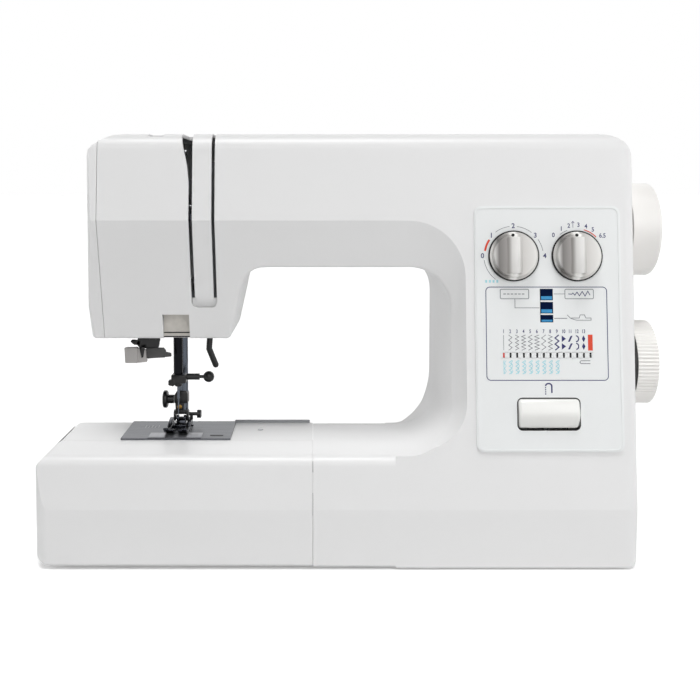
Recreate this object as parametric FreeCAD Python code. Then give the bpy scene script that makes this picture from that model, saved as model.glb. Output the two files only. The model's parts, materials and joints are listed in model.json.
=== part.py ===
import FreeCAD, Part
import os
from math import cos, pi, radians, sin, tan

# Full-size free-arm sewing machine, millimetres.
# +X to the machine's right, +Y to its back, +Z up. The parts are drawn from a datum near the
# needle side, and moved as they are saved so that the origin is under the middle of the machine.

os.makedirs("parts", exist_ok=True)
V = FreeCAD.Vector
X_AXIS, Y_AXIS, Z_AXIS = V(1, 0, 0), V(0, 1, 0), V(0, 0, 1)

# ---- driving dimensions: casing ----
WALL = 2.5
FRONT_Y, BACK_Y = -89.0, 89.0
FOOT_H = 1.6                       # rubber feet
BEND_Z = 39.0                      # the front is upright below this and leans back above it
LEAN = radians(7.3)
TOP_Z, ARM_UNDER_Z, HEAD_Z, BED_Z = 280.0, 191.6, 142.0, 72.5
BODY_RIGHT, BODY_FOOT_RIGHT = 177.3, 175.6   # the right-hand end leans out by this much
SEAM_X, THROAT_X = -33.0, 58.0
HEAD_LEFT, HEAD_FOOT_LEFT, HEAD_RIGHT = -188.0, -183.0, -89.0
ARM_BACK_Y, BED_BACK_Y, TOP_BACK_Y = 36.0, 7.0, 52.0
SPLIT_Y = 4.0                      # parting line of the front and rear covers
FACE_X = -174.5                    # parting line of the face cover
GAP = 0.15                         # half of the gap at a parting line
CREASE_Z, CREASE_X, CREASE_R = 223.0, 66.0, 37.0
FACET_TILT = radians(23.1)         # facet against the leaning front
COVE_SLOPE = 0.515
CORNER_R = 7.0                     # upright corners at the right-hand end
TOP_R = 12.0                       # front and back edges of the top
EDGE_R = 3.0                       # softened front edge round the throat and under the head

# ---- driving dimensions: free arm and extension table ----
TABLE_LEFT, ARM_LEFT = -216.0, -207.0
ARM_FRONT_Y, ARM_FLOOR_Z = -43.9, 14.0
TABLE_FLOOR_Z = 2.2
PLATE_X0, PLATE_X1, PLATE_T = -164.3, -89.4, 1.2
SCREW_X, SCREW_Y = -70.3, -15.0

# ---- driving dimensions: shafts and bars ----
SHAFT_Y, SHAFT_Z, SHAFT_R = -19.0, 215.5, 5.0
LOWER_Y, LOWER_Z, LOWER_R = -9.0, 44.0, 4.0
NEEDLE_X, NEEDLE_Y, NEEDLE_BAR_R = -128.0, -19.0, 3.2
PRESS_X, PRESS_Y, PRESS_R = -126.5, -4.0, 3.5
MOTOR_Y, MOTOR_Z, MOTOR_R = 42.0, 48.0, 26.0
TIMING_X0, TIMING_X1 = 84.0, 94.0
MOTOR_BELT_X0, MOTOR_BELT_X1 = 148.0, 160.0
TIMING_R, LOWER_PULLEY_R, BELT_WHEEL_R, MOTOR_PULLEY_R = 16.0, 8.0, 28.0, 7.0
RUN = 0.05                         # radial running clearance
SWING_X, SWING_Z = -141.0, 258.0   # pivot of the needle bar's sideways swing
LIFTER_Y, LIFTER_Z = 6.0, 150.0
TAKE_Y, TAKE_Z = -14.0, 246.0      # pivot of the take-up lever
HANDLE_X, HANDLE_Y, HANDLE_Z = -30.0, 42.0, 262.0

# ---- driving dimensions: controls ----
WHEEL_X0, WHEEL_X1, WHEEL_R = 181.0, 200.5, 32.0
SELECTOR_Z, SELECTOR_R, SELECTOR_X0, SELECTOR_X1 = 122.5, 29.0, 187.0, 201.0
PANEL_X0, PANEL_X1, PANEL_Z0, PANEL_Z1, PANEL_T = 71.8, 166.4, 75.3, 232.4, 1.2
DIAL_Z, DIAL_R, LENGTH_DIAL_X, WIDTH_DIAL_X = 200.0, 16.5, 97.0, 138.0
CHART_Z, CHART_X0, CHART_X1 = 136.5, 89.8, 145.6
WINDOW_X0, WINDOW_X1, WINDOW_Z0, WINDOW_Z1 = 113.8, 122.0, 157.4, 178.9
LEVER_X0, LEVER_X1, LEVER_Z0, LEVER_Z1 = 98.0, 138.4, 89.0, 109.5
MIDDLE_X = (TABLE_LEFT + SELECTOR_X1) / 2


# ---- small helpers ----
def box(x0, x1, y0, y1, z0, z1):
    return Part.makeBox(x1 - x0, y1 - y0, z1 - z0, V(x0, y0, z0))


def rod(r, start, end):
    a, b = V(*start), V(*end)
    return Part.makeCylinder(r, (b - a).Length, a, b - a)


def fuse(*shapes):
    return shapes[0].multiFuse(list(shapes[1:])).removeSplitter()


def corner_points(before, here, after, radius):
    """Both tangent points and the middle of the arc that rounds one corner of an outline."""
    to_before = (before - here).normalize()
    to_after = (after - here).normalize()
    half = to_before.getAngle(to_after) / 2
    reach = radius / tan(half)
    middle = (to_before + to_after).normalize()
    arc_middle = here + middle * (radius / sin(half) - radius)
    return here + to_before * reach, arc_middle, here + to_after * reach


def outline(corners, place):
    """Closed wire from corners (a, b, radius), with place(a, b) giving the point in space."""
    points = [place(a, b) for a, b, _ in corners]
    edges, joins = [], []
    for i, (_, _, radius) in enumerate(corners):
        if radius == 0:
            joins.append((points[i], points[i]))
            continue
        nxt = points[(i + 1) % len(points)]
        start, middle, end = corner_points(points[i - 1], points[i], nxt, radius)
        edges.append(Part.Arc(start, middle, end).toShape())
        joins.append((start, end))
    for i, (_, end) in enumerate(joins):
        start = joins[(i + 1) % len(joins)][0]
        if (start - end).Length > 1e-6:
            edges.append(Part.LineSegment(end, start).toShape())
    return Part.Wire(Part.__sortEdges__(edges))


def prism(corners, place, along):
    return Part.Face(outline(corners, place)).extrude(along)


def on_xz(y):
    return lambda a, b: V(a, y, b)


def on_yz(x):
    return lambda a, b: V(x, a, b)


def on_xy(z):
    return lambda a, b: V(a, b, z)


def slope_v(z):
    """Distance up the leaning front at height z."""
    return (z - BEND_Z) / cos(LEAN)


def on_front(x, v, n):
    """Point at x, distance v up the leaning front and n out of it."""
    return V(x, FRONT_Y + v * sin(LEAN) - n * cos(LEAN), BEND_Z + v * cos(LEAN) + n * sin(LEAN))


def front_block(x0, x1, z0, z1, n0, n1, radius=0):
    """Block square to the leaning front, n0 to n1 out of its surface."""
    corners = [(x0, slope_v(z0), radius), (x1, slope_v(z0), radius),
               (x1, slope_v(z1), radius), (x0, slope_v(z1), radius)]
    return prism(corners, lambda a, b: on_front(a, b, n0), on_front(0, 0, n1 - n0) - on_front(0, 0, 0))


def front_rod(x, z, r, n0, n1):
    v = slope_v(z)
    a, b = on_front(x, v, n0), on_front(x, v, n1)
    return Part.makeCylinder(r, n1 - n0, a, b - a)


def ring(r_out, r_in, start, end):
    return rod(r_out, start, end).cut(rod(r_in, start, end))


# ---- casing ----
def front_y(z):
    return FRONT_Y + max(0.0, z - BEND_Z) * tan(LEAN)


def side_x(z):
    """Outside of the leaning right-hand end at height z."""
    return BODY_FOOT_RIGHT + (BODY_RIGHT - BODY_FOOT_RIGHT) * z / TOP_Z


def depth_profile(t):
    """Side view of the casing, inset by t, with its rounded right-hand end."""
    corners = [(FRONT_Y + t, 0, 0), (FRONT_Y + t, BEND_Z, 0), (front_y(TOP_Z) + t, TOP_Z - t, TOP_R - t),
               (TOP_BACK_Y - t, TOP_Z - t, TOP_R - t), (BACK_Y - t, BEND_Z, 0), (BACK_Y - t, 0, 0)]
    end = [(-230, 0, 0), (side_x(0) - t, 0, 0), (side_x(TOP_Z) - t, TOP_Z, 0), (-230, TOP_Z, 0)]
    solid = prism(corners, on_yz(-230), V(450, 0, 0)).common(prism(end, on_xz(-100), V(0, 200, 0)))
    right_end = [e for e in solid.Edges if e.BoundBox.ZLength > 30
                 and all(abs(v.X - side_x(v.Z) + t) < 0.01 for v in e.Vertexes)]
    return solid.makeFillet(CORNER_R - t, right_end)


def upper_silhouette(t):
    """Front view of the head, arm and column, inset by t."""
    corners = [(HEAD_FOOT_LEFT + t, HEAD_Z + t, 3), (HEAD_LEFT + t, CREASE_Z, 0),
               (HEAD_LEFT + 1 + t, TOP_Z - t, 30 - t), (side_x(TOP_Z) - t, TOP_Z - t, 20 - t),
               (side_x(FOOT_H) - t, FOOT_H + t, 6 - t), (20, FOOT_H + t, 0), (20, BED_Z - t, 0),
               (THROAT_X + t, BED_Z - t, 31 + t), (THROAT_X + t, ARM_UNDER_Z + t, 27 - t),
               (-78 - t, ARM_UNDER_Z + t, 16), (HEAD_RIGHT - t, HEAD_Z + t, 4)]
    return prism(corners, on_xz(-100), V(0, 200, 0))


def plan(t, back_corners):
    """Top view, inset by t. The back steps out to the column behind the throat."""
    back = [(x + t, y - t, radius) for x, y, radius in back_corners]
    corners = [(BODY_RIGHT - t, -100, 0), (BODY_RIGHT - t, BACK_Y + 5, 0), (71 + t, BACK_Y + 5, 0)] + back
    corners.append((back[-1][0], -100, 0))
    return prism(corners, on_xy(0), V(0, 0, 300))


def facet_section(depth):
    """Outline of the facet's cutter at one depth behind the leaning front."""
    top = slope_v(CREASE_Z) - depth / tan(FACET_TILT)
    right = CREASE_X - COVE_SLOPE * depth
    bottom = slope_v(BED_Z + 4) + 0.1 * depth
    corners = [(-260, bottom, 0), (right, bottom, 30 - 0.15 * depth),
               (right, top, CREASE_R - 0.35 * depth), (-260, top, 0)]
    return corners


def facet_cutter(shift):
    sections = []
    for depth in (-12.0, 40.0):
        place = lambda a, b, n=-(depth + shift): on_front(a, b, n)
        sections.append(outline(facet_section(depth), place))
    return Part.makeLoft(sections, True, True)


def upper_solid(t):
    arm_plan = plan(t, [(50, ARM_BACK_Y, 12), (-230, ARM_BACK_Y, 0)])
    bed_plan = plan(t, [(50, ARM_BACK_Y, 12), (30, BED_BACK_Y, 8), (15, BED_BACK_Y, 0)])
    mid_z = 130.0
    whole_plan = arm_plan.common(box(-250, 250, -120, 120, mid_z, 300))
    whole_plan = whole_plan.fuse(bed_plan.common(box(-250, 250, -120, 120, 0, mid_z)))
    solid = upper_silhouette(t).common(depth_profile(t)).common(whole_plan)
    return solid.cut(facet_cutter(1.15 * t))


def end_cap(t):
    """Bulged left end of the head in plan."""
    front, middle, back = V(-174 + t, -75, 0), V(HEAD_LEFT + t, -16, 0), V(-174 + t, 45, 0)
    arc = Part.Arc(front, middle, back).toShape()
    sides = [Part.LineSegment(back, V(210, 45, 0)).toShape(),
             Part.LineSegment(V(210, 45, 0), V(210, 95, 0)).toShape(),
             Part.LineSegment(V(210, 95, 0), V(240, 95, 0)).toShape(),
             Part.LineSegment(V(240, 95, 0), V(240, -110, 0)).toShape(),
             Part.LineSegment(V(240, -110, 0), V(-174 + t, -110, 0)).toShape(),
             Part.LineSegment(V(-174 + t, -110, 0), front).toShape()]
    return Part.Face(Part.Wire([arc] + sides)).extrude(V(0, 0, 300))


def bed_profile(x0, x1, back, t):
    """Bed in side view: upright front, leaning upper front, rounded top edge."""
    top_front = front_y(BED_Z) + t
    corners = [(FRONT_Y + t, FOOT_H + t, 2), (FRONT_Y + t, BEND_Z, 0), (top_front, BED_Z - t, 7 - t),
               (back - t, BED_Z - t, 3), (back - t, FOOT_H + t, 2)]
    return prism(corners, on_yz(x0), V(x1 - x0, 0, 0))


def casing(t):
    head = upper_solid(t)
    left = head.common(box(-230, -100, -120, 44, 0, 300)).common(end_cap(t))
    right = head.cut(box(-230, -100, -120, 120, 0, 300))
    return left.fuse(right).fuse(bed_profile(SEAM_X + t, THROAT_X, BED_BACK_Y, t)).removeSplitter()


def soft_edged(solid):
    """Rounds the front edge that runs from the head's right side all round the throat."""
    zone = FreeCAD.BoundBox(HEAD_RIGHT - 6, -60, HEAD_Z, HEAD_RIGHT + 14, -40, 185)
    start = [e for e in solid.Edges if zone.isInside(e.BoundBox) and e.BoundBox.ZLength > 20]
    return solid.makeFillet(EDGE_R, start)


def casing_shell():
    return soft_edged(casing(0)).cut(casing(WALL))


def base_plan_cut():
    return box(-250, 250, -120, 120, 0, 6.0)


def thread_slots():
    """Opening for the guide strip and the two thread slots; the left one is wide at the top."""
    corners = [(-114.4, 164.0, 4), (-97.3, 164.0, 4), (-97.3, 300, 0), (-119.5, 300, 0),
               (-119.5, 277, 0), (-115.6, 259, 0), (-114.4, 248, 0)]
    return prism(corners, on_xz(-100), V(0, 88, 0))


def front_cover(shell):
    cover = shell.common(box(FACE_X + GAP, 250, -120, SPLIT_Y - GAP, 6, 300))
    cuts = [thread_slots(),
            box(-165, -96, -39.0, 30, HEAD_Z - 3, HEAD_Z + 6),
            box(-134.6, -116.6, -80, -38, HEAD_Z - 3, 159.0),
            box(-142.2, -131.8, -54, -30, 262, 300),
            box(SEAM_X - 3, SEAM_X + 4, -41.4, 4.5, 16.5, 70.0),
            rod(5.6, (170, SHAFT_Y, SHAFT_Z), (190, SHAFT_Y, SHAFT_Z)),
            rod(4.6, (170, SHAFT_Y, SELECTOR_Z), (190, SHAFT_Y, SELECTOR_Z)),
            front_block(LEVER_X0, LEVER_X1, LEVER_Z0, LEVER_Z1, -8, 8),
            front_block(WINDOW_X0, WINDOW_X1, WINDOW_Z0, WINDOW_Z1, -8, 8),
            front_block(CHART_X0 - 1.2, CHART_X1 + 1.2, CHART_Z - 0.6, CHART_Z + 0.6, -8, 8)]
    for x in (LENGTH_DIAL_X, WIDTH_DIAL_X):
        cuts.append(front_rod(x, DIAL_Z, 4.0, -8, 8))
    return fuse(biggest(cover.cut(fuse_all(cuts))), notch_back())


def notch_back():
    """Wall behind the notch above the needle."""
    screen = box(-134.9, -116.3, -40.3, -38.8, HEAD_Z + 0.5, 161)
    return screen.fuse(box(-134.9, -116.3, -46.0, -38.8, 159.0, 161))


def fuse_all(shapes):
    return shapes[0].multiFuse(shapes[1:])


def biggest(shape):
    return max(shape.Solids, key=lambda s: s.Volume)


def rear_cover(shell):
    cover = shell.common(box(FACE_X + GAP, 250, SPLIT_Y + GAP, 120, 6, 300))
    cuts = [box(-165, -96, -39.0, 28, HEAD_Z - 3, HEAD_Z + 6),
            rod(14.0, (159.5, 24, 270), (159.5, 24, 290)),
            box(170, 182, 21, 37, 48.5, 63.5),
            box(170, 182, 21.9, 42.1, 23.9, 40.1),
            box(SEAM_X - 3, SEAM_X + 4, -41.4, 4.5, 16.5, 70.0)]
    cuts.append(rod(3.3, (120, 22, 270), (120, 22, 290)))
    return biggest(cover.cut(fuse_all(cuts)))


def handle_lugs():
    """Lugs on the back of the arm that hold the handle's pins."""
    lugs = []
    for x in (HANDLE_X - 52, HANDLE_X + 46):
        hole = rod(2.4 + RUN, (x - 1, HANDLE_Y, HANDLE_Z), (x + 7, HANDLE_Y, HANDLE_Z))
        lugs.append(box(x, x + 6, ARM_BACK_Y, HANDLE_Y + 5, 257, 267).cut(hole))
    return Part.makeCompound(lugs)


def face_cover(shell):
    return biggest(shell.common(box(-230, FACE_X - GAP, -120, 120, HEAD_Z, 300)))


def facet_y(z):
    """Front of the head below the crease."""
    return front_y(CREASE_Z) + (CREASE_Z - z) * tan(FACET_TILT - LEAN)


def facet_band(x0, x1, z0, z1, depth0, depth1):
    """Slab behind the head's facet, between two heights and two depths."""
    corners = [(facet_y(z0) + depth0, z0, 0), (facet_y(z1) + depth0, z1, 0),
               (facet_y(z1) + depth1, z1, 0), (facet_y(z0) + depth1, z0, 0)]
    return prism(corners, on_yz(x0), V(x1 - x0, 0, 0))


def thread_guide_strip(shell):
    """Strip between the thread slots, with a set-back tongue that closes the recess under it."""
    face = prism([(-112.0, 169.5, 2.5), (-99.5, 169.5, 2.5), (-99.5, 300, 0), (-112.0, 300, 0)],
                 on_xz(-100), V(0, 86, 0))
    strip = biggest(shell.common(face))
    tongue = facet_band(-114.2, -97.5, 162.0, 170.5, 3.2, 4.7)
    return fuse(strip, tongue, facet_band(-111.0, -100.5, 168.0, 178.0, 1.5, 4.7))


def base_plate():
    slab = casing(0).common(base_plan_cut())
    return biggest(slab)


def rubber_feet():
    spots = [(-22, -75), (-22, -5), (165, -75), (165, 75), (85, 75)]
    return Part.makeCompound([rod(6.0, (x, y, 0), (x, y, FOOT_H)) for x, y in spots])


def table_body(t):
    corners = [(TABLE_LEFT + t, TABLE_FLOOR_Z + t, 16 - t), (SEAM_X - 0.3, TABLE_FLOOR_Z + t, 0),
               (SEAM_X - 0.3, BED_Z - t, 0), (TABLE_LEFT + 5 + t, BED_Z - t, 11 - t)]
    front_view = prism(corners, on_xz(-100), V(0, 200, 0))
    side = [(FRONT_Y + t, TABLE_FLOOR_Z + t, 2), (FRONT_Y + t, BEND_Z, 0), (front_y(BED_Z) + t, BED_Z - t, 7 - t),
            (BED_BACK_Y, BED_Z - t, 0), (BED_BACK_Y, TABLE_FLOOR_Z + t, 0)]
    side_view = prism(side, on_yz(-230), V(230, 0, 0))
    top = [(TABLE_LEFT + t, -30, 40), (TABLE_LEFT + 5 + t, FRONT_Y + t, 9 - t), (0, FRONT_Y + t, 0),
           (0, BED_BACK_Y, 0), (TABLE_LEFT + 2 + t, BED_BACK_Y, 4)]
    return front_view.common(side_view).common(prism(top, on_xy(0), V(0, 0, 100)))


def extension_table():
    """Tray in front of and to the left of the free arm, open towards the arm."""
    arm_room = box(ARM_LEFT - 1.0, 0, ARM_FRONT_Y - 0.3, 20, 0, 100)
    inside = table_body(WALL).common(box(-230, SEAM_X - 0.3 - WALL, -100, 20, 0, 100))
    feet = [rod(4.5, (x, -72, 0), (x, -72, TABLE_FLOOR_Z + 1)) for x in (-196, -122, -48)]
    return fuse(biggest(table_body(0).cut(arm_room).cut(inside)), *feet)


# ---- free arm ----
def free_arm_cover():
    corners = [(ARM_LEFT, ARM_FLOOR_Z, 6), (SEAM_X - 0.2, ARM_FLOOR_Z, 0),
               (SEAM_X - 0.2, BED_Z, 0), (ARM_LEFT, BED_Z, 5)]
    outer = prism(corners, on_xz(ARM_FRONT_Y), V(0, BED_BACK_Y - ARM_FRONT_Y, 0))
    inner = box(ARM_LEFT + WALL, 0, ARM_FRONT_Y + WALL, BED_BACK_Y - WALL, ARM_FLOOR_Z + WALL, BED_Z - WALL)
    hatch = box(-152, -104, ARM_FRONT_Y - 1, ARM_FRONT_Y + 4, 22, 68)
    hook_room = box(-151, -104, -40, 1, 60, 80)
    lever_slot = box(-66.5, -47.5, 0, 10, 38, 46)
    screw = rod(1.2, (SCREW_X, SCREW_Y, 65), (SCREW_X, SCREW_Y, 80))
    return biggest(outer.cut(inner).cut(hatch).cut(hook_room).cut(lever_slot).cut(screw))


def shuttle_cover():
    door = box(-151.4, -104.6, ARM_FRONT_Y, ARM_FRONT_Y + 2.2, 23.2, 67.4)
    return door.cut(box(-152, -104, ARM_FRONT_Y + 0.4, ARM_FRONT_Y + 3, 0, 24.6))


def needle_plate():
    plate = box(PLATE_X0, PLATE_X1, -43.7, 6.0, BED_Z, BED_Z + PLATE_T)
    cuts = [box(NEEDLE_X - 4.8, NEEDLE_X + 4.8, NEEDLE_Y - 1.3, NEEDLE_Y + 1.3, 60, 80)]
    for x in (-9.0, 6.0):
        cuts.append(box(NEEDLE_X + x, NEEDLE_X + x + 3, -33, -5, 60, 80))
    return plate.cut(fuse_all(cuts))


def bed_screw():
    """Screw in the top of the arm, beside the needle plate."""
    head = rod(1.9, (SCREW_X, SCREW_Y, BED_Z), (SCREW_X, SCREW_Y, BED_Z + 0.6))
    return fuse(head, rod(1.15, (SCREW_X, SCREW_Y, 66), (SCREW_X, SCREW_Y, BED_Z)))


def feed_dog():
    bars = [box(NEEDLE_X + x + 0.4, NEEDLE_X + x + 2.6, -29, -9, 66, BED_Z + 0.9) for x in (-9.0, 6.0)]
    bridge = box(NEEDLE_X - 8.6, NEEDLE_X + 8.6, -14, -9, 65.5, 68)
    return fuse(bridge, *bars)


def drop_feed_lever():
    knob = box(-65, -58, BED_BACK_Y + 0.3, 13, 39.2, 44.8)
    return fuse(knob, box(-64, -59, 2, BED_BACK_Y + 0.3, 39.2, 44.8))


# ---- frame ----
def machine_frame():
    """Cast frame: arm beam, column post, bed, and the walls and lugs that carry the shafts and bars."""
    beam = box(-104, 82.5, -30, 0, 195.5, 201.5)
    rail = box(70, 116, 0, 12, 195.5, 201.5).cut(box(82.5, 98, 0, 2.5, 190, 210))
    post = box(98, 116, -30, 0, 17, 201.5)
    far_post = box(163.5, 172, -30, 0, 22, 201.5)
    bed = box(-150, 172, -34, 0, 17, 22)
    wall = box(-104, -99, -30, 20, 144, 262)
    top_lug = box(-150, -104, -7.9, 14, 240, 250)
    swing_lug = box(-150, -134, -7.9, 4, 250, 268)
    low_lug = box(-134, -119, -7.9, 20, 146, 156).fuse(box(-134, -119, 8, 20, 156, 170))
    bridge = box(-119, -104, 8, 20, 160, 170)
    uprights = [box(x, x + w, -32, -6, 201.5, 228) for x, w in ((-99, 12), (163.5, 8.5))]
    stands = [box(x, x + 12, -18, 0, 22, 53) for x in (-90, 60)]
    body = fuse(beam, rail, post, far_post, bed, wall, top_lug, swing_lug, low_lug, bridge,
                *uprights, *stands)
    cuts = [rod(9.0, (-106, SHAFT_Y, SHAFT_Z), (176, SHAFT_Y, SHAFT_Z)),
            rod(7.0, (-92, LOWER_Y, LOWER_Z), (74, LOWER_Y, LOWER_Z)),
            rod(4.0 + RUN, (160, SHAFT_Y, SELECTOR_Z), (176, SHAFT_Y, SELECTOR_Z)),
            rod(PRESS_R + RUN, (PRESS_X, PRESS_Y, 140), (PRESS_X, PRESS_Y, 255)),
            rod(3.0 + RUN, (SWING_X, -10, SWING_Z), (SWING_X, 6, SWING_Z))]
    pin = rod(2.0, (-112, LIFTER_Y, LIFTER_Z), (-104, LIFTER_Y, LIFTER_Z))
    take_pin = rod(1.5, (-118, TAKE_Y, TAKE_Z), (-104, TAKE_Y, TAKE_Z))
    return fuse(body.cut(fuse_all(cuts)), pin, take_pin)


def shaft_bushes():
    upper = [ring(9.0, SHAFT_R + RUN, (x, SHAFT_Y, SHAFT_Z), (x + 8.5, SHAFT_Y, SHAFT_Z)) for x in (-99, 163.5)]
    lower = [ring(7.0, LOWER_R + RUN, (x, LOWER_Y, LOWER_Z), (x + 12, LOWER_Y, LOWER_Z)) for x in (-90, 60)]
    return Part.makeCompound(upper + lower)


# ---- drive train ----
def upper_shaft():
    return rod(SHAFT_R, (-106, SHAFT_Y, SHAFT_Z), (WHEEL_X1 - 6, SHAFT_Y, SHAFT_Z))


def crank():
    disc = rod(18.0, (-112.3, SHAFT_Y, SHAFT_Z), (-106, SHAFT_Y, SHAFT_Z))
    return fuse(disc, rod(2.5, (-119, SHAFT_Y, SHAFT_Z + 15), (-112.3, SHAFT_Y, SHAFT_Z + 15)))


def pulley(x0, x1, y, z, r, bore):
    wheel = rod(r, (x0, y, z), (x1, y, z))
    flange = ring(r + 2, r - 1, (x1 + 0.5, y, z), (x1 + 1.5, y, z))
    hub = rod(r, (x1, y, z), (x1 + 1.5, y, z))
    return fuse(wheel, hub, flange).cut(rod(bore, (x0 - 1, y, z), (x1 + 2, y, z)))


def belt(x0, x1, a, ra, b, rb):
    """Flat belt round two pulleys at a and b, each (y, z), clear of the pulleys by its running gap."""
    def loop(extra):
        span = V(0, b[0] - a[0], b[1] - a[1])
        length = span.Length
        along = span * (1 / length)
        across = V(0, -along.z, along.y)
        grow_a, grow_b = ra + extra, rb + extra
        lean_in = (grow_a - grow_b) / length
        side = (1 - lean_in ** 2) ** 0.5
        edges = []
        tips = {}
        for name, centre, radius in (("a", a, grow_a), ("b", b, grow_b)):
            middle = V(x0, centre[0], centre[1])
            for sign in (1, -1):
                tips[name, sign] = middle + (along * lean_in + across * (side * sign)) * radius
        edges.append(Part.Arc(tips["a", 1], V(x0, *a) - along * grow_a, tips["a", -1]).toShape())
        edges.append(Part.LineSegment(tips["a", -1], tips["b", -1]).toShape())
        edges.append(Part.Arc(tips["b", -1], V(x0, *b) + along * grow_b, tips["b", 1]).toShape())
        edges.append(Part.LineSegment(tips["b", 1], tips["a", 1]).toShape())
        return Part.Face(Part.Wire(edges)).extrude(V(x1 - x0, 0, 0))
    return loop(1.8).cut(loop(0.3))


def timing_belt():
    return belt(TIMING_X0 + 1, TIMING_X1 - 1, (SHAFT_Y, SHAFT_Z), TIMING_R, (LOWER_Y, LOWER_Z), LOWER_PULLEY_R)


def motor_belt():
    return belt(MOTOR_BELT_X0 + 1, MOTOR_BELT_X1 - 1, (SHAFT_Y, SHAFT_Z), BELT_WHEEL_R,
                (MOTOR_Y, MOTOR_Z), MOTOR_PULLEY_R)


def motor():
    can = rod(MOTOR_R, (76, MOTOR_Y, MOTOR_Z), (140, MOTOR_Y, MOTOR_Z))
    foot = box(84, 132, MOTOR_Y - 14, MOTOR_Y + 14, 6, MOTOR_Z - 18)
    return fuse(can, foot).cut(rod(3.0 + RUN, (120, MOTOR_Y, MOTOR_Z), (145, MOTOR_Y, MOTOR_Z)))


def motor_pulley():
    wheel = rod(MOTOR_PULLEY_R, (MOTOR_BELT_X0, MOTOR_Y, MOTOR_Z), (MOTOR_BELT_X1, MOTOR_Y, MOTOR_Z))
    return fuse(wheel, rod(3.0, (121, MOTOR_Y, MOTOR_Z), (MOTOR_BELT_X0, MOTOR_Y, MOTOR_Z)))


def lower_shaft():
    """Lower shaft with its small toothed-belt pulley and its bevel gear."""
    bar = rod(LOWER_R, (-121, LOWER_Y, LOWER_Z), (97, LOWER_Y, LOWER_Z))
    gear = bevel(V(NEEDLE_X, LOWER_Y, LOWER_Z), X_AXIS, 7.0, 3.5)
    return fuse(bar, gear, pulley(TIMING_X0, TIMING_X1, LOWER_Y, LOWER_Z, LOWER_PULLEY_R, LOWER_R))


def bevel(apex, axis, far, near):
    """Bevel gear blank: a cone towards the apex, just inside its pitch cone."""
    base = apex + axis * far
    return Part.makeCone(far - 0.4, near - 0.4, far - near, base, axis * -1)


# ---- hook and bobbin ----
def shuttle_race():
    hoop = ring(20.0, 16.8, (NEEDLE_X, -38, LOWER_Z), (NEEDLE_X, -23, LOWER_Z))
    return fuse(hoop, box(NEEDLE_X - 6, NEEDLE_X + 6, -34, -26, 22, 26))


def shuttle_hook():
    body = rod(16.4, (NEEDLE_X, -37, LOWER_Z), (NEEDLE_X, -22, LOWER_Z))
    body = body.cut(rod(12.6, (NEEDLE_X, -38, LOWER_Z), (NEEDLE_X, -24.5, LOWER_Z)))
    body = body.cut(box(NEEDLE_X - 14, NEEDLE_X - 4, -34, -27, LOWER_Z + 6, LOWER_Z + 20))
    gear = bevel(V(NEEDLE_X, LOWER_Y, LOWER_Z), Y_AXIS * -1, 7.0, 3.5)
    return fuse(body, gear, rod(3.9, (NEEDLE_X, -22, LOWER_Z), (NEEDLE_X, -16, LOWER_Z)))


def bobbin_case():
    case = ring(12.2, 11.0, (NEEDLE_X, -38.5, LOWER_Z), (NEEDLE_X, -25, LOWER_Z))
    return case.fuse(rod(12.2, (NEEDLE_X, -39.3, LOWER_Z), (NEEDLE_X, -38.5, LOWER_Z))).removeSplitter()


def bobbin():
    core = rod(4.0, (NEEDLE_X, -38, LOWER_Z), (NEEDLE_X, -26, LOWER_Z))
    ends = [rod(10.5, (NEEDLE_X, y, LOWER_Z), (NEEDLE_X, y + 1, LOWER_Z)) for y in (-38, -27)]
    return fuse(core, *ends).cut(rod(3.0 + RUN, (NEEDLE_X, -39, LOWER_Z), (NEEDLE_X, -25, LOWER_Z)))


# ---- needle and presser ----
def needle_bar_frame():
    back = box(-145, -137, -28, -8.5, 146, 262)
    arms = [box(-137, -122.5, -26, -11, z, z + 8) for z in (148, 252)]
    body = fuse(back, rod(3.0, (SWING_X, -8.5, SWING_Z), (SWING_X, 3, SWING_Z)), *arms)
    return body.cut(rod(NEEDLE_BAR_R + RUN, (NEEDLE_X, NEEDLE_Y, 140), (NEEDLE_X, NEEDLE_Y, 270)))


def needle_bar():
    return rod(NEEDLE_BAR_R, (NEEDLE_X, NEEDLE_Y, 110), (NEEDLE_X, NEEDLE_Y, 266))


def needle_bar_link():
    plate = box(-124.8, -120.8, NEEDLE_Y - 4, NEEDLE_Y + 4, 194, 236)
    clamp = box(-133, -120.8, NEEDLE_Y - 6, NEEDLE_Y + 6, 194, 204)
    return fuse(plate, clamp).cut(rod(NEEDLE_BAR_R, (NEEDLE_X, NEEDLE_Y, 190), (NEEDLE_X, NEEDLE_Y, 240)))


def needle_clamp():
    block = box(-134, -122, -24.5, -14, 107, 116)
    cuts = rod(NEEDLE_BAR_R, (NEEDLE_X, NEEDLE_Y, 110), (NEEDLE_X, NEEDLE_Y, 120))
    return block.cut(cuts).cut(rod(0.9, (NEEDLE_X, NEEDLE_Y, 100), (NEEDLE_X, NEEDLE_Y, 112)))


def needle_clamp_screw():
    y, z = NEEDLE_Y, 111.5
    return fuse(rod(2.2, (-122, y, z), (-113, y, z)), rod(1.1, (-113, y, z), (-108, y, z)),
                Part.makeSphere(3.9, V(-106.5, y, z)))


def needle():
    shank = rod(0.9, (NEEDLE_X, NEEDLE_Y, 96), (NEEDLE_X, NEEDLE_Y, 110))
    blade = Part.makeCone(0.15, 0.55, 15, V(NEEDLE_X, NEEDLE_Y, 81), Z_AXIS)
    return fuse(shank, blade)


def presser_bar():
    return rod(PRESS_R, (PRESS_X, PRESS_Y, 84), (PRESS_X, PRESS_Y, 256))


def presser_bracket():
    block = box(-133, -108, -7.8, 1, 171, 180)
    return block.cut(rod(PRESS_R, (PRESS_X, PRESS_Y, 165), (PRESS_X, PRESS_Y, 185)))


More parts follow.
